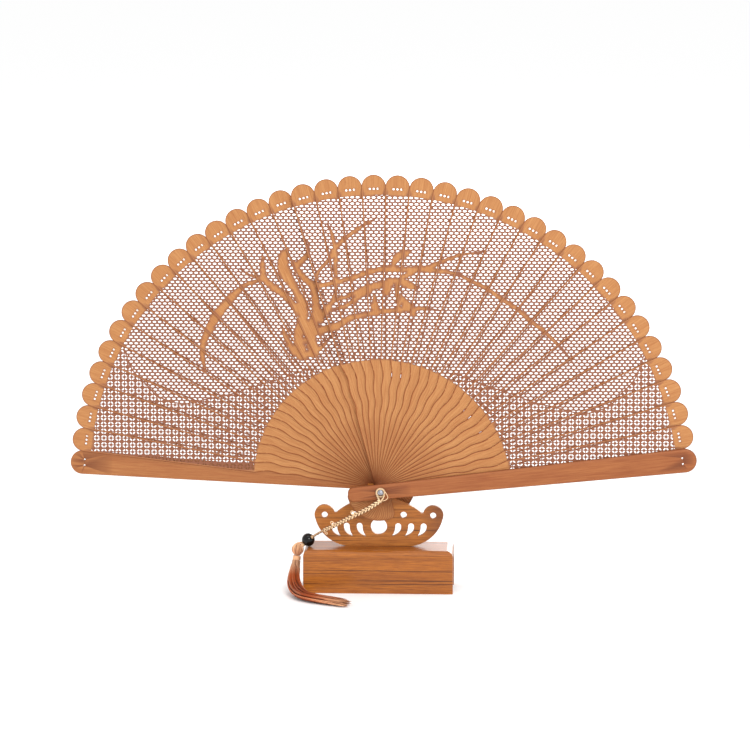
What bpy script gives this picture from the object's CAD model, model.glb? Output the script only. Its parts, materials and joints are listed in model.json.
import json
import math
import random

import bmesh
import bpy
import numpy as np
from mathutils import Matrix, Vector
from mathutils.geometry import delaunay_2d_cdt


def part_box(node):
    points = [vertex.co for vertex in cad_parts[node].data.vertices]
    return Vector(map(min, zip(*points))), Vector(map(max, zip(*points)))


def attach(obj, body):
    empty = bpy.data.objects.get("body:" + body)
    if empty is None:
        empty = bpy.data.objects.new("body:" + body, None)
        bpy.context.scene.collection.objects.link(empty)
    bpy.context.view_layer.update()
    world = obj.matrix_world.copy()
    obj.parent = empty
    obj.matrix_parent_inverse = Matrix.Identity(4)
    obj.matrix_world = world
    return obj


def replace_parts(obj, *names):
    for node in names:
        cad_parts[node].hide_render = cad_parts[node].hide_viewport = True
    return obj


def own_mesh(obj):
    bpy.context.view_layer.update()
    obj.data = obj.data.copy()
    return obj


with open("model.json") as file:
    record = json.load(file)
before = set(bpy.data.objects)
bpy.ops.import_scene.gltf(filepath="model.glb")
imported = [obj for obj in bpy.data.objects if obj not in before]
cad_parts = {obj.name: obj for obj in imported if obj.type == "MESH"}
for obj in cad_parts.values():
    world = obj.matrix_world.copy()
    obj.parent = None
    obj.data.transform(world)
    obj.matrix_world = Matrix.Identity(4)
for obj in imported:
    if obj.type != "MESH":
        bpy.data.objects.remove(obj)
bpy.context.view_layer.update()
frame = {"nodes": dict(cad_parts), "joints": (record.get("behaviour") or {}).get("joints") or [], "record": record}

# Lengths are in millimetres inside the builders; MM turns them into metres when a mesh is made.
MM = 0.001
SEED = 11

# ---- measures shared with the CAD part ----------------------------------------------------------

PIVOT = [x / MM for x in next(j["pos_m"] for j in frame["joints"] if j["name"] == "front_guard_fold")]
INNER = 37
SPREAD, LEAN = 85.0, 1.5
STEP = 2 * SPREAD / (INNER + 1)
REACH, TAIL, GUARD_TAIL = 185.5, 19.8, 19.3
TIP_W, SHOULDER_W, SHANK_W = 14.2, 9.6, 6.8
WAVE, WAVE_START, SHOULDER_V = 0.9, 43.0, 76
GUARD_ROOT_W, GUARD_CORNER, GUARD_TIE_PITCH = 9.0, 3.6, 3.5
FIELD_LOW, FIELD_HIGH = 76.5, 173.5
TIP_V = REACH - TIP_W / 2
PIN_R = 1.55
TIE_V, TIE_PITCH, TIE_R = 177.2, 2.25, 0.6

CORD_ROUTE = [
    (0.2, -17.2, 56.7), (-2, -17.1, 55.4), (-6, -17, 52.7), (-12, -16.6, 49.4), (-18, -15.8, 46.2),
    (-23.9, -13.2, 42.6), (-29.8, -9.8, 39), (-34.8, -5.8, 35.8), (-38.4, -3, 33.2), (-40.6, -1.8, 31.6)]
SKIRT_ROUTE = [
    (-50.2, -2.6, 17.4), (-50.9, -4.4, 12.8), (-51.4, -11, 7.6), (-49.4, -20, 4.3), (-45, -29.5, 3),
    (-38.4, -35.5, 2.6), (-30.4, -39.5, 2.2), (-21.8, -44, 1.9), (-13.6, -49, 1.6)]
SKIRT_W = [2.6, 3, 3.6, 4.4, 5, 5.3, 5.3, 4.9, 3.6]
SKIRT_H = [2.5, 2.5, 2.5, 2.4, 2.2, 2, 1.8, 1.5, 1.2]
BEAD_AT = np.array([-43.3, 0, 29.4])
KNOB_AT = np.array([-49.5, -1, 23.8])


# ---- small geometry helpers ---------------------------------------------------------------------

def unit(v):
    v = np.asarray(v, float)
    return v / max(np.linalg.norm(v), 1e-12)


def smooth_route(points, parts):
    """Catmull-Rom line through the points, with that many parts between two of them."""
    p = np.array(points, float)
    p = np.vstack([2 * p[0] - p[1], p, 2 * p[-1] - p[-2]])
    out = []
    for k in range(1, len(p) - 2):
        for j in range(parts):
            t = j / parts
            a, b, c, d = p[k - 1], p[k], p[k + 1], p[k + 2]
            out.append(0.5 * (2 * b + (c - a) * t + (2 * a - 5 * b + 4 * c - d) * t * t
                              + (3 * b - a - 3 * c + d) * t ** 3))
    out.append(p[-2])
    return np.array(out)


def resampled(line, count):
    d = np.r_[0, np.cumsum(np.linalg.norm(np.diff(line, axis=0), axis=1))]
    s = np.linspace(0, d[-1], count)
    return np.stack([np.interp(s, d, line[:, k]) for k in range(line.shape[1])], 1)


def line_length(line):
    return float(np.linalg.norm(np.diff(line, axis=0), axis=1).sum())


def frames(line):
    """Direction, sideways and upward unit vectors at each point of a line."""
    ahead = np.gradient(line, axis=0)
    ahead /= np.linalg.norm(ahead, axis=1)[:, None]
    side = np.cross(ahead, np.array([0, 0, 1.0]))
    side /= np.maximum(np.linalg.norm(side, axis=1), 1e-9)[:, None]
    return ahead, side, np.cross(side, ahead)


def carried_frames(line):
    """Frames carried along the line without twisting."""
    ahead = np.gradient(line, axis=0)
    ahead /= np.linalg.norm(ahead, axis=1)[:, None]
    first = np.cross(ahead[0], [0.31, 0.2, 0.93])
    side = [unit(first)]
    for k in range(1, len(line)):
        s = side[-1] - ahead[k] * np.dot(side[-1], ahead[k])
        side.append(unit(s))
    side = np.array(side)
    return ahead, side, np.cross(side, ahead)


def arc(r, at, angles):
    """Points on a circle at the given angles in degrees."""
    return [(at[0] + r * math.cos(a), at[1] + r * math.sin(a)) for a in np.radians(angles)]


class Builder:
    """Collects the parts of one mesh with the values that its material reads."""

    def __init__(self):
        self.v, self.f, self.fm, self.attrs, self.n = [], [], [], {}, 0

    def add(self, verts, faces, **values):
        verts = np.asarray(verts, float).reshape(-1, 3)
        for name, val in values.items():
            val = np.asarray(val, float)
            width = 3 if val.ndim and val.shape[-1] == 3 else 1
            shape = (len(verts), 3) if width == 3 else (len(verts),)
            full = np.broadcast_to(val, shape)
            self.attrs.setdefault(name, [width, []])[1].append((self.n, full))
        self.v.append(verts)
        self.f.extend([tuple(int(i) + self.n for i in f) for f in faces])
        self.fm.extend([0] * len(faces))
        self.n += len(verts)

    def tube(self, line, radius, sides=6, closed=False, fr=None, facing=None, **values):
        """Round tube along a line; with facing, threads darken where they turn away from that side."""
        line = np.asarray(line, float)
        n = len(line)
        r = np.broadcast_to(np.asarray(radius, float), (n,))
        _, side, over = fr or carried_frames(line)
        a = np.linspace(0, 2 * math.pi, sides, endpoint=False)
        ring = (line[:, None] + (r[:, None] * np.cos(a))[..., None] * side[:, None]
                + (r[:, None] * np.sin(a))[..., None] * over[:, None])
        faces = []
        for k in range(n if closed else n - 1):
            k2 = (k + 1) % n
            for s in range(sides):
                s2 = (s + 1) % sides
                faces.append((k * sides + s, k2 * sides + s, k2 * sides + s2, k * sides + s2))
        if not closed:
            faces.append(tuple(range(sides)))
            faces.append(tuple((n - 1) * sides + s for s in range(sides - 1, -1, -1)))
        spread = {}
        for name, val in values.items():
            val = np.asarray(val, float)
            spread[name] = np.repeat(val, sides) if val.shape == (n,) else val
        if facing is not None:
            normal = np.cos(a)[:, None] * side[:, None] + np.sin(a)[:, None] * over[:, None]
            turned = np.clip((0.88 - np.abs(normal @ unit(facing))) * 2.0, 0, 1)
            spread["burn"] = np.clip(spread["burn"] + turned.ravel(), 0, 1)
        self.add(ring.reshape(-1, 3), faces, **spread)

    def lathe(self, profile, sides, at, axis, **values):
        """Turns (radius, height) pairs about an axis through a point; a zero radius closes the end."""
        z = unit(axis)
        x = unit(np.cross(z, [0.3, 0.9, 0.2]))
        y = np.cross(z, x)
        a = np.linspace(0, 2 * math.pi, sides, endpoint=False)
        p = np.array(profile, float)
        ring = (np.array(at) + p[:, 1, None, None] * z
                + (p[:, 0, None] * np.cos(a))[..., None] * x + (p[:, 0, None] * np.sin(a))[..., None] * y)
        faces = []
        for k in range(len(p) - 1):
            for s in range(sides):
                s2 = (s + 1) % sides
                faces.append((k * sides + s, k * sides + s2, (k + 1) * sides + s2, (k + 1) * sides + s))
        self.add(ring.reshape(-1, 3), faces, **values)

    def mesh(self, name, mats, body, smooth=None):
        me = bpy.data.meshes.new(name)
        me.from_pydata((np.vstack(self.v) * MM).tolist(), [], self.f)
        for m in mats:
            me.materials.append(m)
        if len(mats) > 1:
            me.polygons.foreach_set("material_index", self.fm)
        for key, (width, parts) in self.attrs.items():
            data = np.zeros((self.n, width), np.float32)
            for start, full in parts:
                data[start:start + len(full)] = full.reshape(len(full), width)
            at = me.attributes.new(key, "FLOAT_VECTOR" if width == 3 else "FLOAT", "POINT")
            at.data.foreach_set("vector" if width == 3 else "value", data.ravel())
        me.update()
        me.validate()
        if smooth is not None:
            me.polygons.foreach_set("use_smooth", [True] * len(me.polygons))
            me.set_sharp_from_angle(angle=math.radians(smooth))
        o = bpy.data.objects.new(name, me)
        bpy.context.scene.collection.objects.link(o)
        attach(o, body)
        return o


# ---- materials ----------------------------------------------------------------------------------

def lin(r, g, b):
    """Scene colour of an sRGB colour given as 0 to 255."""
    f = lambda c: c / 12.92 if c <= 0.04045 else ((c + 0.055) / 1.055) ** 2.4
    return (f(r / 255), f(g / 255), f(b / 255), 1)


class Shader:
    """One material with a principled surface, and short names for the nodes that feed it."""

    def __init__(self, name):
        self.mat = bpy.data.materials.new(name)
        self.mat.use_nodes = True
        self.tree = self.mat.node_tree
        self.bsdf = self.tree.nodes["Principled BSDF"]

    def node(self, kind, inputs=None, **props):
        n = self.tree.nodes.new(kind)
        for k, v in props.items():
            setattr(n, k, v)
        for k, v in (inputs or {}).items():
            self.put(n.inputs[k], v)
        return n

    def put(self, socket, value):
        if isinstance(value, bpy.types.NodeSocket):
            self.tree.links.new(value, socket)
        else:
            socket.default_value = value

    def set(self, **values):
        for k, v in values.items():
            self.put(self.bsdf.inputs[k.replace("_", " ")], v)

    def noise(self, co, scale, detail=2, rough=0.5, distortion=0.0):
        n = self.node("ShaderNodeTexNoise", {"Vector": co, "Scale": scale, "Detail": detail,
                                             "Roughness": rough, "Distortion": distortion})
        return n.outputs["Fac"]

    def scaled(self, co, scale):
        n = self.node("ShaderNodeMapping", {"Vector": co, "Scale": scale})
        return n.outputs["Vector"]

    def ramp(self, fac, stops):
        n = self.node("ShaderNodeValToRGB", {"Fac": fac})
        while len(n.color_ramp.elements) < len(stops):
            n.color_ramp.elements.new(0.5)
        for e, (at, colour) in zip(n.color_ramp.elements, stops):
            e.position, e.color = at, colour
        return n.outputs["Color"]

    def mix(self, fac, a, b):
        n = self.node("ShaderNodeMix", data_type="RGBA")
        for socket, value in ((n.inputs[0], fac), (n.inputs[6], a), (n.inputs[7], b)):
            self.put(socket, value)
        return n.outputs[2]

    def math(self, how, a, b=None):
        n = self.node("ShaderNodeMath", operation=how)
        self.put(n.inputs[0], a)
        if b is not None:
            self.put(n.inputs[1], b)
        return n.outputs[0]

    def span(self, value, low, high, to_low, to_high):
        n = self.node("ShaderNodeMapRange", {"Value": value, "From Min": low, "From Max": high,
                                             "To Min": to_low, "To Max": to_high})
        return n.outputs["Result"]

    def attribute(self, name, output="Fac"):
        return self.node("ShaderNodeAttribute", attribute_name=name).outputs[output]

    def object_mm(self):
        co = self.node("ShaderNodeTexCoord").outputs["Object"]
        return self.scaled(co, (1000, 1000, 1000))

    def bump(self, height, strength, distance):
        n = self.node("ShaderNodeBump", {"Height": height, "Strength": strength, "Distance": distance})
        self.put(self.bsdf.inputs["Normal"], n.outputs["Normal"])


def wood(name, pale, dark, streak, along, co=None, tone=0.16, fine=7.0, rough=(0.42, 0.6), burn=None,
         bands=0.0, pitch=0.55, streaks=(0.62, 0.74), spec=0.4, coat=0.0, stain=None):
    """Straight-grained wood: long fibres, slow colour drift, short dark pores and a singed cut edge."""
    s = Shader(name)
    co = co(s) if co else s.object_mm()
    stretch = [1.0, 1.0, 1.0]
    stretch[along] = 0.035
    fibre = s.noise(s.scaled(co, [fine * 0.28 * x for x in stretch]), 1.0, 4, 0.62, 0.25)
    drift = s.noise(s.scaled(co, [0.16 if k != along else 0.012 for k in range(3)]), 1.0, 2, 0.5)
    pores = s.noise(s.scaled(co, [fine * 0.7 if k != along else 0.16 for k in range(3)]), 1.0, 2, 0.6)
    base = s.ramp(fibre, [(0.30, dark), (0.62, pale)])
    base = s.mix(s.span(drift, 0.35, 0.65, 0, tone * 2.2), base, dark)
    base = s.mix(s.span(pores, streaks[0], streaks[1], 0, 0.5), base, streak)
    if bands:
        line = s.noise(s.scaled(co, [pitch if k != along else 0.005 for k in range(3)]), 1.0, 3, 0.6, 0.35)
        base = s.mix(s.span(line, 0.56, 0.68, 0, bands), base, streak)
    if stain:                                # a darker cloud that grows from one X to another
        x = s.node("ShaderNodeSeparateXYZ", {"Vector": co}).outputs["X"]
        cloud = s.math("MULTIPLY", s.span(x, stain[0], stain[1], 0, 1), s.span(drift, 0.3, 0.6, 0.45, 0.95))
        base = s.mix(cloud, base, stain[2])
    if burn:
        edge = s.attribute("burn")
        base = s.mix(s.math("POWER", edge, 0.65), base, s.mix(s.attribute("warm"), burn[0], burn[1]))
    s.set(Base_Color=base, Roughness=s.span(fibre, 0.3, 0.7, rough[1], rough[0]))
    s.bsdf.inputs["Specular IOR Level"].default_value = spec
    s.bsdf.inputs["Coat Weight"].default_value = coat
    s.bsdf.inputs["Coat Roughness"].default_value = 0.12
    s.bump(fibre, 0.25, 0.00012)
    return s.mat


def grain_co(s):
    return s.attribute("grain_co", "Vector")


def stick_wood():
    return wood("sandalwood_stick", lin(190, 135, 84), lin(166, 107, 62), lin(130, 74, 38), 1, grain_co,
                tone=0.2, fine=7.5, rough=(0.5, 0.65), burn=(lin(114, 65, 57), lin(122, 48, 12)), spec=0.22)


def singed_edge():
    s = Shader("singed_cut_edge")
    fac = s.noise(s.object_mm(), 1.4, 2)
    s.set(Base_Color=s.ramp(fac, [(0.3, lin(88, 50, 36)), (0.7, lin(120, 74, 54))]),
          Roughness=s.span(fac, 0.3, 0.7, 0.6, 0.75))
    s.bump(fac, 0.2, 0.0001)
    return s.mat


def guard_wood():
    return wood("sandalwood_guard", lin(162, 98, 53), lin(137, 73, 37), lin(106, 50, 24), 1, grain_co,
                tone=0.2, fine=6.0, rough=(0.42, 0.58), burn=(lin(104, 52, 26), lin(104, 52, 26)), spec=0.3)


def back_guard_wood():
    return wood("sandalwood_back_guard", lin(174, 115, 66), lin(149, 86, 46), lin(116, 60, 31), 1, grain_co,
                tone=0.2, fine=6.0, rough=(0.42, 0.58), burn=(lin(108, 56, 30), lin(108, 56, 30)), spec=0.3)


def plate_wood():
    return wood("plate_wood", lin(190, 119, 48), lin(150, 85, 29), lin(56, 28, 10), 0, tone=0.25, fine=5.0,
                rough=(0.4, 0.55), bands=0.95, pitch=0.8, streaks=(0.57, 0.7), spec=0.35,
                stain=(22, 33, lin(112, 62, 34)))


def base_wood():
    return wood("base_wood", lin(184, 108, 32), lin(134, 70, 18), lin(66, 30, 8), 0, tone=0.25, fine=9.0,
                rough=(0.3, 0.42), bands=0.95, pitch=1.0, coat=0.22, streaks=(0.54, 0.7), spec=0.33)


def rivet_metal():
    s = Shader("rivet_metal")
    fac = s.noise(s.object_mm(), 1.1, 3)
    s.set(Base_Color=s.ramp(fac, [(0.35, lin(136, 136, 144)), (0.7, lin(176, 176, 182))]),
          Roughness=s.span(fac, 0.3, 0.7, 0.16, 0.3))
    s.bsdf.inputs["Metallic"].default_value = 1.0
    s.bump(fac, 0.15, 0.00005)
    return s.mat


def thread(name, top, middle, end, dark, spread=0.35, rough=(0.4, 0.6), spec=0.3):
    """Silk thread: colour runs along the piece, varies from strand to strand and darkens in the gaps."""
    s = Shader(name)
    run = s.attribute("along")
    base = s.ramp(run, [(0.0, top), (0.03, top), (0.16, middle), (0.6, middle), (0.9, end)])
    strand = s.attribute("tone")
    base = s.mix(s.span(strand, 0, 0.15, 0.45, 0), base, top)
    base = s.mix(s.span(strand, 0, 1, 0, spread), base, dark)
    grain = s.noise(s.object_mm(), 6.0, 3, 0.6)
    base = s.mix(s.span(grain, 0.45, 0.7, 0, 0.25), base, dark)
    base = s.mix(s.attribute("burn"), base, dark)
    s.set(Base_Color=base, Roughness=s.span(grain, 0.3, 0.7, rough[0], rough[1]))
    s.bsdf.inputs["Specular IOR Level"].default_value = spec
    s.bump(grain, 0.3, 0.0001)
    return s.mat


def bead_glass():
    s = Shader("bead_glass")
    fac = s.noise(s.object_mm(), 0.8, 3)
    s.set(Base_Color=s.ramp(fac, [(0.4, lin(8, 7, 7)), (0.7, lin(16, 14, 14))]),
          Roughness=s.span(fac, 0.3, 0.7, 0.05, 0.1))
    s.bsdf.inputs["Specular IOR Level"].default_value = 0.3
    s.bump(fac, 0.1, 0.00003)
    return s.mat


def white_floor():
    s = Shader("white_floor")
    s.bsdf.inputs["Base Color"].default_value = (0.96, 0.96, 0.96, 1)
    s.bsdf.inputs["Roughness"].default_value = 0.9
    s.bsdf.inputs["Specular IOR Level"].default_value = 0.0
    return s.mat


# ---- camera -------------------------------------------------------------------------------------

def make_camera(azimuth=2.5, elevation=10.0, distance=2.5, width=0.4383, aim_left=0.00316, aim_up=0.0692):
    """Aims a long lens above the rivet's head; width is what the picture spans there, in metres."""
    head = np.array([PIVOT[0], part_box("rivet_pin")[0].y / MM, PIVOT[2]]) * MM
    a, e = math.radians(azimuth), math.radians(elevation)
    back = np.array([math.sin(a) * math.cos(e), -math.cos(a) * math.cos(e), math.sin(e)])
    right = np.array([math.cos(a), math.sin(a), 0])
    up = np.cross(back, right)
    aim = head - right * aim_left + up * aim_up
    data = bpy.data.cameras.new("camera")
    data.sensor_width = 36
    data.lens = 36 * distance / width
    data.clip_end = 50
    o = bpy.data.objects.new("camera", data)
    o.location = aim + back * distance
    o.rotation_euler = Vector(-back).to_track_quat("-Z", "Y").to_euler()
    bpy.context.scene.collection.objects.link(o)
    bpy.context.scene.camera = o


# ---- cord and tassel ----------------------------------------------------------------------------

def full_cord_path():
    """The cord's centreline: over the plate, through the bead, the head and the collar, into the skirt."""
    inside = [tuple(BEAD_AT), (-46.5, -0.6, 26.2), tuple(KNOB_AT), (-49.9, -1.7, 20.6)]
    return smooth_route(CORD_ROUTE + inside + SKIRT_ROUTE[:4], 6)


def cord_braid(mats):
    """Three strands plaited flat, so that two rows of slanted loops show; thin and twisted near the bead."""
    b = Builder()
    rnd = random.Random(SEED)
    line = resampled(smooth_route(CORD_ROUTE, 12), 420)
    ahead = np.gradient(line, axis=0)
    ahead /= np.linalg.norm(ahead, axis=1)[:, None]
    total = line_length(line)
    s = np.linspace(0, total, len(line))
    toward = np.array([0.08, -0.98, 0.17])
    side = np.cross(ahead, toward)
    side /= np.linalg.norm(side, axis=1)[:, None]
    over = np.cross(side, ahead)
    plait_end = 0.83
    wide = np.clip((plait_end - s / total) / 0.03, 0, 1)
    for k in range(3):
        t = 2 * math.pi * (s / 6.6 + k / 3)
        wob = 0.05 * np.sin(s * 1.3 + k)
        across = wide * (0.92 + wob) * np.sin(t) + (1 - wide) * 0.34 * np.cos(2.2 * t)
        lift = wide * 0.5 * np.sin(2 * t) + (1 - wide) * 0.34 * np.sin(2.2 * t)
        r = wide * (0.58 + 0.05 * np.sin(s * 2.1 + 2 * k)) + (1 - wide) * 0.40
        r = r * np.clip(0.55 + s / 2.5, 0, 1)
        path = line + across[:, None] * side + lift[:, None] * over
        deep = np.clip(0.35 - lift / 0.5, 0, 1) * wide + (1 - wide) * 0.25 * (1 + np.sin(2.2 * t))
        b.tube(path, r, 8, facing=toward, along=s / total * 0.6, tone=rnd.uniform(0.0, 0.3), burn=deep * 0.6)
    core = full_cord_path()
    rest = resampled(core[line_index(core, line[-1]):], 60)
    b.tube(rest, 1.0, 8, along=0.6, tone=0.2, burn=0.2)
    return b.mesh("tassel_braid", [mats["cord"]], "rivet", smooth=60)


def line_index(line, point):
    return int(np.argmin(np.linalg.norm(line - np.array(point), axis=1)))


def cord_picots(mats):
    """Small thread loops that stand out from the braid, and the thin loop beside the rivet."""
    b = Builder()
    line = resampled(smooth_route(CORD_ROUTE, 12), 200)
    for at, turn, size in (((-15.6, -16.2, 47.8), 100, 1.15), ((-27.8, -11.4, 40.8), 80, 1.1),
                           ((-33.6, -7.2, 36.9), 255, 0.9)):
        k = line_index(line, at)
        ahead = unit(line[k + 1] - line[k - 1])
        out = unit(np.cross(ahead, [0, -1, 0]))
        a = np.radians(np.arange(0, 360, 15))
        lean = math.copysign(1, 180 - turn)
        centre = line[k] + out * lean * (1.2 + size * 0.7) + np.array([0, -0.6, 0])
        ring = centre + size * np.cos(a)[:, None] * ahead * 0.8 + size * np.sin(a)[:, None] * out
        b.tube(ring, 0.24, 6, closed=True, along=0.3, tone=0.2, burn=0.0)
    return b.mesh("tassel_picots", [mats["cord"]], "rivet", smooth=60)


def noose(mats):
    """Twisted cord round the rivet's neck, the two legs that run into the braid, and one thin side loop."""
    b = Builder()
    y = (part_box("cord_noose")[0].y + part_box("cord_noose")[1].y) / 2 / MM
    a = np.linspace(0, 2 * math.pi, 96, endpoint=False)
    for k in range(2):
        twist = 9 * a + math.pi * k
        r = 2.32 + 0.34 * np.cos(twist)
        ring = np.stack([r * np.cos(a), y - 0.34 * np.sin(twist), PIVOT[2] + r * np.sin(a)], 1)
        b.tube(ring, 0.40, 8, closed=True, facing=(0, -1, 0.1), along=0.1, tone=0.1 * k, burn=0.0)
    for side in (-1, 1):
        leg = smooth_route([(side * 2.1, y - 0.3, PIVOT[2] - 0.9), (side * 1.7, y - 0.9, PIVOT[2] - 2.4),
                            (side * 0.95, -17.3, PIVOT[2] - 3.6), (side * 0.5 - 0.1, -17.5, 56.6),
                            (side * 0.3 - 1.2, -17.5, 55.7)], 8)
        _, across, over = carried_frames(leg)
        for k in range(2):
            t = np.linspace(0, 5.5 * math.pi, len(leg)) + math.pi * k
            path = leg + 0.3 * np.cos(t)[:, None] * across + 0.3 * np.sin(t)[:, None] * over
            b.tube(path, 0.38, 8, facing=(0, -1, 0.1), along=0.1, tone=0.1 + 0.1 * k, burn=0.0)
    loop = smooth_route([(2.3, y - 0.9, PIVOT[2] + 1.2), (3.5, y - 1.1, PIVOT[2] - 0.4),
                         (4.3, y - 1.2, PIVOT[2] - 2.6), (3.2, y - 1.5, PIVOT[2] - 3.9),
                         (1.4, y - 2.4, PIVOT[2] - 4.4)], 8)
    b.tube(loop, 0.22, 6, along=0.2, tone=0.2, burn=0.0)
    o = b.mesh("rivet_noose", [mats["cord"]], "rivet", smooth=60)
    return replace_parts(o, "cord_noose")


def bead(mats):
    """Glossy barrel with a rounded rim round its hole."""
    b = Builder()
    axis = unit(np.array(CORD_ROUTE[-1]) - BEAD_AT)
    outer = [(max(r, 1.62), max(-3.45, min(3.45, h))) for r, h in arc(3.9, (0, 0), np.arange(-64, 65, 8))]
    rim = [(0.8, 2.9), (0.92, 3.25), (1.2, 3.44)]
    profile = [(r, -h) for r, h in rim] + outer + rim[::-1] + [(0.8, -2.9)]
    b.lathe(profile, 48, BEAD_AT, axis)
    o = b.mesh("tassel_bead", [mats["bead"]], "rivet", smooth=50)
    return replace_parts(o, "bead")


def tassel_head(mats):
    """Silk threads folded over the cord's end: they leave the bead, round the top and meet at the collar."""
    b = Builder()
    rnd = random.Random(SEED + 1)
    down = unit(np.array(SKIRT_ROUTE[0]) - KNOB_AT)
    top = -down
    x = unit(np.cross(top, [0, 1, 0]))
    y = np.cross(top, x)
    core = [(0.01, 2.95), (1.2, 2.8), (2.3, 1.9), (2.95, 0.5), (2.95, -0.7), (2.4, -2.2), (1.9, -3.2),
            (1.8, -3.6), (0.01, -3.6)]
    b.lathe(core, 24, KNOB_AT, top, along=0.05, tone=0.6, burn=0.35)
    count = 54
    for k in range(count):
        a = 2 * math.pi * (k + rnd.uniform(-0.3, 0.3)) / count
        lean = rnd.uniform(-0.1, 0.1)
        t = np.linspace(0, 1, 15)
        polar = np.radians(6 + 142 * t)
        r = 3.22 + rnd.uniform(-0.1, 0.14) + 0.1 * np.sin(t * 9 + k)
        az = a + lean * t
        rad = r * np.sin(polar)
        h = r * np.cos(polar)
        rad = np.where(t > 0.8, np.maximum(rad, 1.95), rad)
        path = KNOB_AT + h[:, None] * top + (rad * np.cos(az))[:, None] * x + (rad * np.sin(az))[:, None] * y
        b.tube(path, 0.26, 5, along=0.08 * t, tone=rnd.uniform(0, 1), burn=0.0)
    bead_low = BEAD_AT - unit(np.array(CORD_ROUTE[-1]) - BEAD_AT) * 3.1
    for k in range(7):
        a = 2 * math.pi * k / 7
        off = 0.45 * (math.cos(a) * x + math.sin(a) * y)
        path = smooth_route([bead_low + off, KNOB_AT + top * 3.0 + off * 2.5 + (BEAD_AT - KNOB_AT) * 0.12,
                             KNOB_AT + top * 2.4 + off * 5.0], 6)
        b.tube(path, 0.3, 5, along=0.02, tone=rnd.uniform(0, 0.6), burn=0.0)
    o = b.mesh("tassel_head", [mats["silk"]], "rivet", smooth=60)
    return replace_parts(o, "tassel_knob")


def collar(mats):
    """Thread wound round the neck of the tassel."""
    b = Builder()
    start = np.array(SKIRT_ROUTE[0])
    axis = unit(KNOB_AT - start)
    x = unit(np.cross(axis, [0, 1, 0]))
    y = np.cross(axis, x)
    turns = 6
    t = np.linspace(0, 1, turns * 28)
    a = 2 * math.pi * turns * t
    r = 2.12 + 0.06 * np.sin(3 * a)
    path = (start + (0.35 + 2.3 * t)[:, None] * axis
            + (r * np.cos(a))[:, None] * x + (r * np.sin(a))[:, None] * y)
    b.tube(path, 0.24, 6, along=0.02, tone=0.15, burn=0.0)
    sleeve = [(0.01, 2.9), (1.9, 2.85), (2.05, 1.6), (2.0, 0.15), (0.01, 0.1)]
    b.lathe(sleeve, 24, start, axis, along=0.1, tone=0.6, burn=0.3)
    o = b.mesh("tassel_collar_winding", [mats["silk"]], "rivet", smooth=60)
    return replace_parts(o, "tassel_collar")


def rows_at(t, pos, rows):
    """Rows given at pos, read between them at each t."""
    return np.stack([np.interp(t, pos, rows[:, j]) for j in range(rows.shape[1])], 1)


def skirt(mats):
    """Loose silk strands that fall beside the base, turn and lie forward on the table with ragged ends."""
    b = Builder()
    rnd = random.Random(SEED + 2)
    steps = 34
    route = smooth_route(SKIRT_ROUTE, 12)
    d = np.r_[0, np.cumsum(np.linalg.norm(np.diff(route, axis=0), axis=1))]
    knots = d[::12] / d[-1]
    ahead, side, over = frames(route)
    pos = d / d[-1]
    locks = 26
    for k in range(locks):
        ring = 0.95 if k % 3 else 0.55
        a = 2 * math.pi * (k * 0.382 + rnd.uniform(-0.03, 0.03))
        tone = rnd.choice((0.0, 0.2, 0.3, 0.5, 0.8))
        swing, phase, reach = rnd.uniform(5, 9), rnd.uniform(0, 6), rnd.uniform(0.82, 0.99)
        for q in range(6):
            end = reach * rnd.uniform(0.86, 1.01)
            t = np.linspace(0.0, end, steps)
            centre, across, lift = (rows_at(t, pos, rows) for rows in (route, side, over))
            w = np.interp(t, knots, SKIRT_W) * 0.86
            h = np.interp(t, knots, SKIRT_H) * 0.86
            w = np.where(t < 0.08, 1.8 + (w - 1.8) * t / 0.08, w)
            h = np.where(t < 0.08, 1.8 + (h - 1.8) * t / 0.08, h)
            turn = a + 0.5 * math.sin(k) * t
            wave = 0.4 * np.sin(t * swing + phase) * t
            fray = np.clip(t - 0.66, 0, 1) * rnd.uniform(-12, 12)
            spin = 2 * math.pi * q / 5 + 2.5 * t
            thick = (0.0 if q == 5 else 0.4) * (1 + 0.7 * np.clip(t - 0.7, 0, 1))
            path = (centre + (w * ring * np.cos(turn) + wave + fray + thick * np.cos(spin))[:, None] * across
                    + (h * ring * np.sin(turn) + thick * np.sin(spin))[:, None] * lift)
            path[:, 2] = np.maximum(path[:, 2], 0.3)
            r = np.full(steps, 0.28)
            r[-3:] = (0.24, 0.18, 0.09)
            shade = np.clip(0.5 - ring * 0.5 + 0.3 * (q == 5), 0, 1)
            own_tone = min(1.0, max(0.0, tone + rnd.uniform(-0.12, 0.12)))
            b.tube(path, r, 6, facing=(0.1, -0.8, 0.6), along=t, tone=own_tone, burn=shade)
    for k in range(9):
        t = np.linspace(0.3 * rnd.random(), rnd.uniform(0.8, 1.0), steps)
        centre, across = (rows_at(t, pos, rows) for rows in (route, side))
        w = np.interp(t, knots, SKIRT_W) * 0.95 * rnd.choice((-1, 1))
        path = centre + (w + 1.3 * np.sin(t * 5 + k) * t * np.sign(w))[:, None] * across
        path[:, 2] = np.maximum(path[:, 2] + 0.6 * np.sin(t * 7 + k), 0.3)
        r = np.r_[np.full(steps - 2, 0.15), 0.11, 0.06]
        b.tube(path, r, 5, along=t, tone=rnd.random() * 0.5, burn=0.0)
    k = np.arange(6, int(len(route) * 0.86))
    core = np.interp(pos[k], knots, SKIRT_H) * 0.55
    b.tube(route[k], core, 10, fr=(ahead[k], side[k], over[k]), along=pos[k], tone=1.0, burn=1.0)
    o = b.mesh("tassel_strands", [mats["silk"]], "rivet", smooth=60)
    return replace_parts(o, "tassel_skirt")


def tassel(mats):
    braid = cord_braid(mats)
    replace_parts(braid, "tassel_cord")
    on_it = [cord_picots(mats), bead(mats), tassel_head(mats), collar(mats), skirt(mats)]
    noose(mats)


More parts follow.
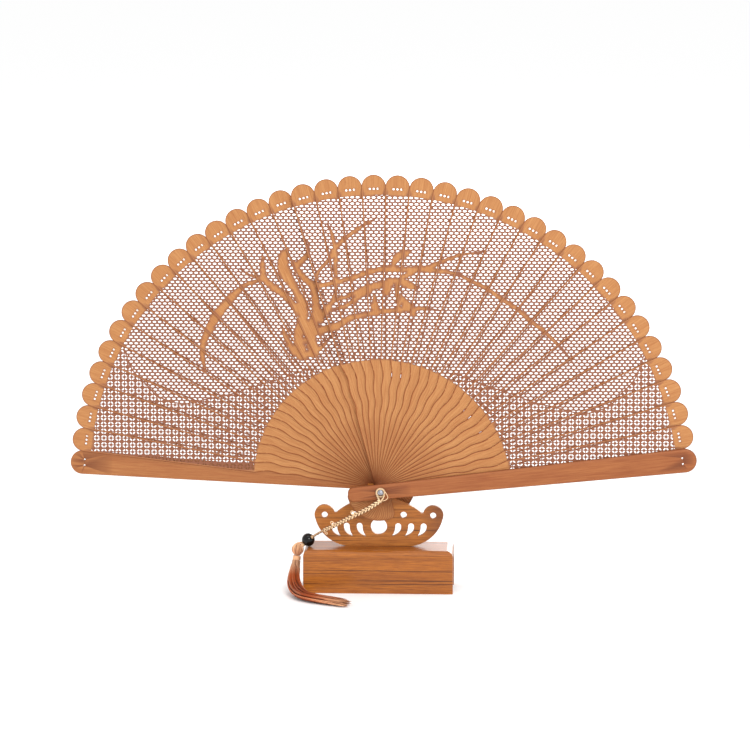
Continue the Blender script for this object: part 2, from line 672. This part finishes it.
# ---- openwork -----------------------------------------------------------------------------------
# The pattern lies in one flat frame for the whole open fan: X to the right and Z up from the rivet.

BORDER = [(42, 70), (60, 63), (76, 58), (90, 53), (104, 50), (118, 47), (132, 51), (139, 58), (148, 68),
          (153, 82)]

# Each stroke: its line, and its half widths, spread evenly from its start to its end.
LEAVES = [
    ([(-47, 77), (-49, 90), (-46, 104), (-51, 117), (-57, 127), (-58, 135), (-55, 142)],
     (3.0, 2.9, 2.9, 2.3, 3.9, 2.9, 0.5)),
    ([(-40, 79), (-42, 91), (-39, 101), (-39, 111), (-41, 119), (-47, 125), (-52, 133)],
     (3.2, 3.4, 2.7, 2.3, 2.1, 1.9, 1.2)),
    ([(-51, 79), (-56, 87), (-59, 95)], (2.2, 1.7, 0.5)),
    ([(-48, 103), (-57, 113), (-64, 118), (-69, 123), (-70, 130), (-70, 137)],
     (1.8, 2.1, 2.2, 2.0, 1.8, 0.5)),
    ([(-71, 122), (-80, 119), (-88, 112), (-96, 102), (-101, 94), (-105, 85), (-106, 76), (-104, 66)],
     (1.1, 1.3, 2.2, 2.9, 2.6, 2.0, 1.6, 0.5)),
    ([(-71, 123), (-78, 125), (-84, 129)], (0.9, 0.7, 0.4)),
    ([(-50, 131), (-45, 136), (-43, 140), (-43, 146)], (1.8, 1.6, 1.2, 0.4)),
    ([(-32, 104), (-27, 117), (-27, 131), (-27, 140), (-29, 150), (-32, 157)],
     (1.4, 0.9, 1.3, 1.4, 1.1, 0.4)),
    ([(-39, 120), (-37, 128), (-31, 135), (-27, 142), (-20, 149), (-10, 156), (-3, 160)],
     (1.0, 1.0, 1.3, 1.4, 1.3, 1.0, 0.4)),
    ([(-39, 119), (-26, 122), (-16, 125), (-8, 128), (1, 130), (15, 130), (26, 131), (33, 134), (46, 139),
      (60, 141)],
     (1.4, 1.3, 1.5, 1.6, 1.7, 1.7, 1.7, 1.2, 0.9, 0.4)),
    ([(26, 130), (43, 128), (52, 124), (62, 119), (71, 113), (79, 108), (87, 101), (96, 94), (106, 84),
      (113, 75)],
     (1.6, 1.0, 1.1, 1.3, 1.3, 1.3, 1.3, 1.2, 0.9, 0.4)),
    ([(-36, 99), (-32, 107), (-27, 111), (-19, 114), (-8, 119), (1, 121), (6, 123)],
     (2.0, 1.5, 0.9, 1.2, 2.1, 2.3, 1.8)),
    ([(-30, 105), (-21, 108), (-14, 113), (-6, 117)], (0.9, 1.2, 1.5, 1.0)),
    ([(-37, 92), (-26, 96), (-18, 101), (-9, 103), (0, 105), (10, 106), (17, 107), (27, 107), (35, 106)],
     (2.4, 2.2, 1.9, 1.5, 1.5, 1.5, 1.7, 0.8, 0.4)),
    ([(-45, 78), (-35, 83), (-30, 90)], (2.0, 1.2, 0.4)),
]
BLOSSOMS = [
    ([(6, 131), (9, 137), (13, 139), (17, 141)], (1.0, 2.6, 2.5, 0.6)),
    ([(11, 123), (16, 121), (21, 119)], (2.0, 2.5, 1.0)),
    ([(12, 125), (17, 128), (22, 130)], (1.4, 1.7, 1.0)),
    ([(3, 116), (5, 123)], (1.9, 2.5)),
    ([(10, 106), (9, 117), (9, 124)], (0.9, 1.3, 1.5)),
    ([(-4, 115), (-4, 108), (-3, 104)], (0.6, 2.4, 2.2)),
    ([(11, 115), (14, 110), (18, 106), (19, 102)], (0.9, 2.4, 2.2, 0.6)),
]


def smooth_2d(points, parts):
    return smooth_route([(x, z, 0) for x, z in points], parts)[:, :2]


def stroke_segments():
    """Every solid line of the pattern as short pieces: (start, end, half width at each)."""
    rows = []

    def add(line, widths):
        line = np.array(line)
        t = np.linspace(0, 1, len(line))
        w = np.interp(t, np.linspace(0, 1, len(widths)), widths)
        for a, b, wa, wb in zip(line[:-1], line[1:], w[:-1], w[1:]):
            rows.append((*a, *b, wa, wb))

    for points, widths in LEAVES + BLOSSOMS:
        add(smooth_2d(points, 6), widths)
    for side in (-1, 1):
        add([(side * x, z) for x, z in smooth_2d(BORDER, 4)], (0.35, 0.35))
    return np.array(rows)


SEGMENTS = stroke_segments()


def solid_distance(points):
    """Distance from each point to the nearest solid line of the pattern; negative inside it."""
    p = np.asarray(points, float).reshape(-1, 1, 2)
    a, d = SEGMENTS[:, 0:2], SEGMENTS[:, 2:4] - SEGMENTS[:, 0:2]
    t = np.clip(((p - a) * d).sum(-1) / np.maximum((d * d).sum(-1), 1e-9), 0, 1)
    w = SEGMENTS[:, 4] + (SEGMENTS[:, 5] - SEGMENTS[:, 4]) * t
    return (np.linalg.norm(p - (a + t[..., None] * d), axis=-1) - w).min(1)


def is_coin_zone(x, z):
    x = abs(x)
    if x < BORDER[0][0]:
        return False
    xs, zs = zip(*BORDER)
    return x > xs[-1] or z < np.interp(x, xs, zs)


def honeycomb_hole():
    """Six-sided hole with its points to the left and right."""
    return np.array([(1.18, 0), (0.62, 0.6), (-0.62, 0.6), (-1.18, 0), (-0.62, -0.6), (0.62, -0.6)])


def coin_petals():
    """The four holes of one ring, round a solid centre."""
    out = []
    for k in range(4):
        wide = arc(1.74, (0, 0), 90 * k + np.array([10, 24, 38, 52, 66, 80]))
        out.append(np.array(wide + arc(0.95, (0, 0), 90 * k + np.array([76, 14]))))
    return out


def grid(pitch_x, pitch_z, stagger, offset=(0.0, 0.0)):
    """Hole centres over the whole field, each second row moved by a share of half a pitch."""
    rows, reach = [], 176
    for r in range(int(4 / pitch_z), int(reach / pitch_z)):
        z = r * pitch_z + offset[1]
        half = stagger * pitch_x * (r % 2) / 2 + offset[0]
        n = int(reach / pitch_x)
        rows += [(c * pitch_x + half, z) for c in range(-n, n + 1)]
    g = np.array(rows)
    far = np.hypot(g[:, 0], g[:, 1])
    return g[(far > 70) & (far < 175)]


def clip_half(poly, normal, limit):
    """The part of a convex polygon where dot(p, normal) <= limit."""
    s = poly @ normal - limit
    if (s <= 0).all():
        return poly
    if (s >= 0).all():
        return None
    out = []
    for k in range(len(poly)):
        j = (k + 1) % len(poly)
        if s[k] <= 0:
            out.append(poly[k])
        if (s[k] < 0) != (s[j] < 0) and s[k] != s[j]:
            out.append(poly[k] + (poly[j] - poly[k]) * (s[k] / (s[k] - s[j])))
    return np.array(out) if len(out) > 2 else None


def outside_runs(poly, s):
    """The parts of a closed outline where s is positive, each closed straight across."""
    n, runs, run = len(poly), [], None
    start = next(k for k in range(n) if s[k] <= 0)
    for q in range(n):
        a, b = (start + q) % n, (start + q + 1) % n
        if (s[a] > 0) != (s[b] > 0):
            cross = poly[a] + (poly[b] - poly[a]) * (s[a] / (s[a] - s[b]))
        if s[a] <= 0 < s[b]:
            run = [cross, poly[b]]
        elif s[a] > 0 and s[b] > 0 and run is not None:
            run.append(poly[b])
        elif s[a] > 0 >= s[b] and run is not None:
            runs.append(np.array(run + [cross]))
            run = None
    return runs


def area(poly):
    x, y = poly[:, 0], poly[:, 1]
    return 0.5 * float(np.sum(x * np.roll(y, -1) - y * np.roll(x, -1)))


def thinned(poly, least=0.06):
    """The outline without points that lie closer than that to the one before."""
    keep = [poly[0]]
    for p in poly[1:]:
        if np.linalg.norm(p - keep[-1]) > least:
            keep.append(p)
    if np.linalg.norm(keep[0] - keep[-1]) <= least:
        keep.pop()
    return np.array(keep)


# ---- sticks -------------------------------------------------------------------------------------

# Sticks whose shoulder is a little narrower on the right, which leaves a slit of light, and by how much.
OPEN_SEAMS = {6: 0.5, 8: 0.6, 9: 0.4, 17: 0.55, 18: 0.6, 22: 0.35, 23: 0.4, 24: 0.35, 26: 0.45}


def stick_angle(i):
    return SPREAD - LEAN - STEP * i


def body_of(node):
    return "rivet" if node in frame["record"]["behaviour"]["bodies"]["rivet"] else node


def in_fan(u, v, a):
    """X and Z of points u across and v along a leaf that is turned by the angle a."""
    return u * math.cos(a) + v * math.sin(a), PIVOT[2] - u * math.sin(a) + v * math.cos(a)


def leaf_outline(right, left):
    """Closed outline from its right side and its left side, both given with positive X."""
    return np.array(right + [(-u, v) for u, v in reversed(left[1:-1])])


def shank_half(v, depth):
    s = (v - WAVE_START) / (SHOULDER_V - WAVE_START)
    wave = depth * (1 - math.cos(math.radians(720 * s))) / 2
    return SHANK_W / 2 + (SHOULDER_W - SHANK_W) / 2 * s ** 6 - wave


def field_half(v):
    return (SHOULDER_W + (TIP_W - SHOULDER_W) * (v - SHOULDER_V) / (TIP_V - SHOULDER_V)) / 2


def stick_outline(i, rnd):
    depth = WAVE * rnd.uniform(0.94, 1.04)
    gap = OPEN_SEAMS.get(i, 0.0)
    low = arc(SHANK_W / 2, (0, SHANK_W / 2 - TAIL), np.arange(-90, 1, 15))
    high = arc(TIP_W / 2, (0, TIP_V), np.arange(0, 90.1, 7.5))
    mid = np.arange(WAVE_START, SHOULDER_V + 0.01, 1.5)
    right = low + [(shank_half(v, depth) - gap * math.exp(-((v - 68.3) / 2.0) ** 2), v) for v in mid] + high
    left = low + [(shank_half(v, depth), v) for v in mid] + high
    return leaf_outline(right, left)


def inset(loop, d):
    """A closed loop moved inwards by d."""
    e = np.roll(loop, -1, 0) - loop
    n = np.stack([-e[:, 1], e[:, 0]], 1) / np.maximum(np.linalg.norm(e, axis=1), 1e-9)[:, None]
    m = n + np.roll(n, 1, 0)
    m /= np.maximum((m * m).sum(1) / 2, 0.6)[:, None]
    return loop + m * d


def circle(at, r, sides=18):
    a = np.linspace(0, 2 * math.pi, sides, endpoint=False)
    return np.stack([at[0] + r * np.cos(a), at[1] + r * np.sin(a)], 1)


def triangulated(outline, holes, inner=None, loose=()):
    """Triangles of an outline less its holes: (points, triangles, source index of each point)."""
    pts = [Vector(p) for p in outline]
    faces, edges = [list(range(len(outline)))], []
    for h in holes:
        faces.append(list(range(len(pts), len(pts) + len(h))))
        pts += [Vector(p) for p in h]
    if inner is not None:
        n, k = len(pts), len(inner)
        edges = [(n + j, n + (j + 1) % k) for j in range(k)]
        pts += [Vector(p) for p in inner]
    pts += [Vector(p) for p in loose]
    v, _, f, source, _, inside = delaunay_2d_cdt(pts, edges, faces, 0, 1e-5)
    tris = [t for t, o in zip(f, inside) if 0 in o and not any(x > 0 for x in o)]
    return np.array([(p.x, p.y) for p in v]), np.array(tris), [s[0] if s else -1 for s in source]


def stick_holes(i):
    """Everything cut through one stick, in its own frame, and the solid points between."""
    a = math.radians(stick_angle(i))
    turn = np.array([[math.cos(a), -math.sin(a)], [math.sin(a), math.cos(a)]])     # fan frame to stick frame
    strip = 0.78
    quad = []
    for side in (-1, 1):
        p = np.array([side * (field_half(FIELD_LOW) - strip), FIELD_LOW])
        q = np.array([side * (field_half(FIELD_HIGH) - strip), FIELD_HIGH])
        n = unit((side * (q - p)[1], -side * (q - p)[0]))
        quad.append((n, float(p @ n)))
    quad += [(np.array([0, -1.0]), -FIELD_LOW), (np.array([0, 1.0]), FIELD_HIGH)]
    holes = []
    for centres, shapes, coin in ((HONEY, [honeycomb_hole()], False), (COINS, coin_petals(), True)):
        local = centres @ turn.T
        near = ((np.abs(local[:, 0]) < 8.5)
                & (local[:, 1] > FIELD_LOW - 2.5) & (local[:, 1] < FIELD_HIGH + 2.5))
        for c in centres[near]:
            for shape in shapes:
                poly = c + shape
                if is_coin_zone(*poly.mean(0)) != coin and abs(solid_distance(c)[0]) > 3:
                    continue
                local_poly = poly @ turn.T
                for n, limit in quad:
                    local_poly = clip_half(local_poly, n, limit)
                    if local_poly is None:
                        break
                if local_poly is None or area(local_poly) < 0.15:
                    continue
                holes.append((local_poly, coin))
    every = np.vstack([p for p, _ in holes]) @ turn
    s_all = solid_distance(every)
    done, k = [], 0
    for poly, coin in holes:
        s = s_all[k:k + len(poly)]
        k += len(poly)
        if s.min() > 1.3:
            if is_coin_zone(*(poly.mean(0) @ turn)) == coin:
                done.append(poly)
            continue
        ahead = np.roll(poly, -1, 0) - poly
        fine = np.vstack([p + d * q / 3 for p, d in zip(poly, ahead) for q in range(3)])
        s = solid_distance(fine @ turn)
        if (s <= 0).all():
            continue
        for run in ([poly] if (s > 0).all() else outside_runs(fine, s)):
            run = thinned(run)
            if len(run) > 2 and area(run) > 0.1 and is_coin_zone(*(run.mean(0) @ turn)) == coin:
                done.append(run)
    g = np.array([(u, v) for v in np.arange(FIELD_LOW + 0.8, FIELD_HIGH - 0.5, 1.3)
                  for u in np.arange(-5.6, 5.7, 1.4)])
    g = g[np.abs(g[:, 0]) < field_half(g[:, 1]) - strip - 0.1]
    tip = np.array([(u, v) for v in np.arange(FIELD_HIGH + 0.5, REACH - 1, 1.1)
                    for u in np.arange(-6.05, 6.1, 1.1)])
    tip = tip[(np.hypot(tip[:, 0], np.maximum(tip[:, 1] - TIP_V, 0)) < TIP_W / 2 - 1.1)
              & ((np.abs(tip[:, 0]) > TIE_PITCH + 0.95) | (np.abs(tip[:, 1] - TIE_V) > 0.95))]
    low = np.array([(u, FIELD_LOW - d) for d in (0.45, 2, 6) for u in (-3, -1.5, 0, 1.5, 3)])
    return done, np.vstack([g[solid_distance(g @ turn) < -0.55], tip, low])


def stick(i, mats, rnd):
    node = "stick_%02d" % i
    lo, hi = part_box(node)
    y0, y1 = lo.y / MM, hi.y / MM
    outline = stick_outline(i, rnd)
    rim = inset(outline, 0.55)
    cuts, loose = stick_holes(i)
    ties = [circle((k * TIE_PITCH, TIE_V), TIE_R, 12) for k in (-1, 0, 1)]
    holes = cuts + ties + [circle((0, 0), PIN_R, 18)]
    flat, tris, source = triangulated(outline, holes, rim, loose)
    n_out, n_holes = len(outline), sum(len(h) for h in holes)
    src = np.array(source)
    n_cuts = sum(len(h) for h in cuts)
    # burn darkens a cut edge; warm picks the redder of the two burnt colours.
    edge = np.select([flat[:, 1] < 0, flat[:, 1] < FIELD_LOW], [0.5, 1.0], 0.7)
    burn = np.select([src < 0, src < n_out, src < n_out + n_cuts, src < n_out + n_holes],
                     [0.6, edge, 0.6, 0.25], 0.0)
    warm = np.where((src < n_out) & (src >= 0) | (flat[:, 1] < FIELD_LOW - 0.5), 1.0, 0.0)
    a = math.radians(stick_angle(i))

    n = len(flat)
    x, z = in_fan(flat[:, 0], flat[:, 1], a)
    verts = np.vstack([np.stack([x, np.full(n, y), z], 1) for y in (y0, y1)])
    edges = set()
    for t in tris:
        for p, q in ((t[0], t[1]), (t[1], t[2]), (t[2], t[0])):
            edges.add((int(p), int(q)))
    rim_edges = [(p, q) for p, q in edges if (q, p) not in edges]
    seed = rnd.uniform(0, 900)
    co = np.stack([flat[:, 0], flat[:, 1], np.full(n, seed)], 1)
    b = Builder()
    b.add(verts, [tuple(t) for t in tris] + [tuple(t[::-1] + n) for t in tris],
          grain_co=np.vstack([co, co + [0, 0, 0.5]]), burn=np.r_[burn, burn], warm=np.r_[warm, warm])
    walls = [(p, p + n, q + n, q) for p, q in rim_edges]
    b.f += walls
    b.fm += [1] * len(walls)
    o = b.mesh("leaf_%02d" % i, [mats["stick"], mats["singed"]], body_of(node))
    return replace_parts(o, node)


def sticks(mats):
    rnd = random.Random(SEED + 3)
    for i in range(1, INNER + 1):
        stick(i, mats, rnd)


# ---- guards -------------------------------------------------------------------------------------

def guard_outline():
    w, r = GUARD_ROOT_W / 2, TIP_W / 2
    low = arc(GUARD_CORNER, (w - GUARD_CORNER, GUARD_CORNER - GUARD_TAIL), np.arange(-90, 1, 10))
    high = arc(r, (0, TIP_V), np.arange(0, 90.1, 6))
    taper = [(w + (r - w) * q, TIP_V * q) for q in np.arange(0.1, 0.95, 0.1)]
    right = [(0, -GUARD_TAIL)] + low + [(w, 0)] + taper + high
    return leaf_outline(right, right)


def guard(node, angle, outward, mats):
    """Thick outer stick: softly domed outer face with eased edges, flat inner face."""
    lo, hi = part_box(node)
    y0, y1 = lo.y / MM, hi.y / MM
    t = y1 - y0
    a = math.radians(angle)
    loop = guard_outline()
    soft = [(1.7, 0.0), (0.95, 0.08), (0.45, 0.28), (0.14, 0.6), (0.0, 1.0)]
    hard = [(0.0, t - 0.22), (0.08, t - 0.07), (0.25, t)]
    rings = soft + hard if outward < 0 else [(d, t - y) for d, y in reversed(soft + hard)]
    ties = [circle((k * GUARD_TIE_PITCH, TIE_V), TIE_R, 16) for k in (-0.5, 0.5)]
    holes = [circle((0, 0), PIN_R, 24)] + ties
    b = Builder()

    def placed(flat, y):
        x, z = in_fan(flat[:, 0], flat[:, 1], a)
        return np.stack([x, np.full(len(flat), y0 + y), z], 1)

    def co(flat):
        return np.stack([flat[:, 0], flat[:, 1], np.full(len(flat), 40.0 + 300 * (outward > 0))], 1)

    for end, flip in ((rings[0], False), (rings[-1], True)):
        edge = inset(loop, end[0])
        flat, tris, _ = triangulated(edge, holes)
        tris = [tuple(x[::-1]) if flip else tuple(x) for x in tris]
        b.add(placed(flat, end[1]), tris, grain_co=co(flat), burn=0.0)
    n = len(loop)
    levels = [inset(loop, d) for d, _ in rings]
    verts = np.vstack([placed(f, y) for f, (_, y) in zip(levels, rings)])
    faces = [(k * n + s, (k + 1) * n + s, (k + 1) * n + (s + 1) % n, k * n + (s + 1) % n)
             for k in range(len(rings) - 1) for s in range(n)]
    burn = np.concatenate([np.full(n, 0.28 if d < 0.2 else 0.0) for d, _ in rings])
    b.add(verts, faces, grain_co=np.vstack([co(f) for f in levels]), burn=burn)
    for h in holes:
        m = len(h)
        wall = np.vstack([placed(h, rings[0][1]), placed(h, rings[-1][1])])
        b.add(wall, [(s, (s + 1) % m, (s + 1) % m + m, s + m) for s in range(m)],
              grain_co=np.vstack([co(h), co(h)]), burn=0.75)
    name = "front_guard_board" if outward < 0 else "back_guard_board"
    o = b.mesh(name, [mats["guard"]], node)
    weld(o)
    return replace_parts(o, node)


def weld(o):
    """Joins touching points and shades the eased edges smoothly."""
    m = bmesh.new()
    m.from_mesh(o.data)
    bmesh.ops.remove_doubles(m, verts=m.verts, dist=1e-6)
    m.to_mesh(o.data)
    m.free()
    o.data.polygons.foreach_set("use_smooth", [True] * len(o.data.polygons))
    o.data.set_sharp_from_angle(angle=math.radians(32))


# ---- linking thread -----------------------------------------------------------------------------

def link_thread(i, mats):
    """Flat run of thread from a stick's right-hand hole behind it, toward the stick in front."""
    node = "stick_%02d" % i
    y0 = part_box(node)[1].y / MM
    a = math.radians(stick_angle(i))
    along = np.linspace(TIE_PITCH - 0.5, 9.6, 12)
    sag = 0.12 * np.sin(np.linspace(0, math.pi, 12))
    u = np.concatenate([along, along])
    v = np.concatenate([TIE_V - sag - 0.2, TIE_V - sag + 0.2])
    x, z = in_fan(u, v, a)
    verts = np.vstack([np.stack([x, np.full(24, y), z], 1) for y in (y0 + 0.02, y0 + 0.1)])
    faces = []
    for k in range(11):
        p, q, r, s = k, k + 1, k + 13, k + 12
        faces += [(p, q, r, s), (p + 24, s + 24, r + 24, q + 24),
                  (p, p + 24, q + 24, q), (s, r, r + 24, s + 24)]
    faces += [(0, 12, 36, 24), (11, 35, 47, 23)]
    b = Builder()
    b.add(verts, faces, along=0.0, tone=0.1, burn=0.0)
    o = b.mesh("link_thread_%02d" % i, [mats["cord"]], body_of(node))
    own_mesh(o)


# ---- carried CAD nodes --------------------------------------------------------------------------

def dress_cad_nodes(mats):
    for name, key in (("stand_plate", "plate"), ("stand_base", "base"), ("rivet_pin", "metal"),
                      ("rivet_cap", "metal"), ("front_washer", "metal"), ("back_washer", "metal")):
        data = frame["nodes"][name].data
        data.materials.clear()
        data.materials.append(mats[key])


# ---- studio -------------------------------------------------------------------------------------

def studio(mats):
    me = bpy.data.meshes.new("floor")
    me.from_pydata([(-6, -6, 0), (6, -6, 0), (6, 6, 0), (-6, 6, 0)], [], [(0, 1, 2, 3)])
    me.materials.append(mats["floor"])
    floor = bpy.data.objects.new("floor", me)
    bpy.context.scene.collection.objects.link(floor)
    world = bpy.data.worlds.new("studio")
    world.use_nodes = True
    back = world.node_tree.nodes["Background"]
    back.inputs["Color"].default_value = (1, 1, 1, 1)
    back.inputs["Strength"].default_value = 1.02
    bpy.context.scene.world = world
    for name, at, size, energy in (("overhead", (0.1, 0.0, 1.3), 1.2, 5.0),
                                   ("key", (0.5, -1.6, 1.0), 0.6, 14.0),
                                   ("back", (0.45, 2.0, 0.5), 0.9, 18.0)):
        lamp = bpy.data.lights.new(name, "AREA")
        lamp.size = size
        lamp.energy = energy
        o = bpy.data.objects.new(name, lamp)
        o.location = at
        o.rotation_euler = (Vector((0, 0, 0.1)) - Vector(at)).to_track_quat("-Z", "Y").to_euler()
        bpy.context.scene.collection.objects.link(o)
    view = bpy.context.scene.view_settings
    view.view_transform = "Standard"
    view.look = "None"


def main():
    make_camera()
    mats = {
        "cord": thread("cord_silk", lin(255, 224, 180), lin(252, 214, 168), lin(250, 208, 160),
                       lin(100, 56, 28), spread=0.12),
        "silk": thread("tassel_silk", lin(250, 198, 152), lin(210, 100, 44), lin(255, 190, 140),
                       lin(104, 40, 14), spread=0.65),
        "bead": bead_glass(), "stick": stick_wood(), "singed": singed_edge(), "guard": guard_wood(),
        "back_guard": back_guard_wood(),
        "plate": plate_wood(), "base": base_wood(), "metal": rivet_metal(), "floor": white_floor()}
    tassel(mats)
    sticks(mats)
    guard("front_guard", SPREAD - LEAN, -1, mats)
    guard("back_guard", -SPREAD - LEAN, 1, dict(mats, guard=mats["back_guard"]))
    for i in range(1, INNER + 1):
        link_thread(i, mats)
    dress_cad_nodes(mats)
    studio(mats)


HONEY = grid(3.12, 1.85, 1)
COINS = grid(4.25, 4.12, 0, (0.6, 1.0))
main()
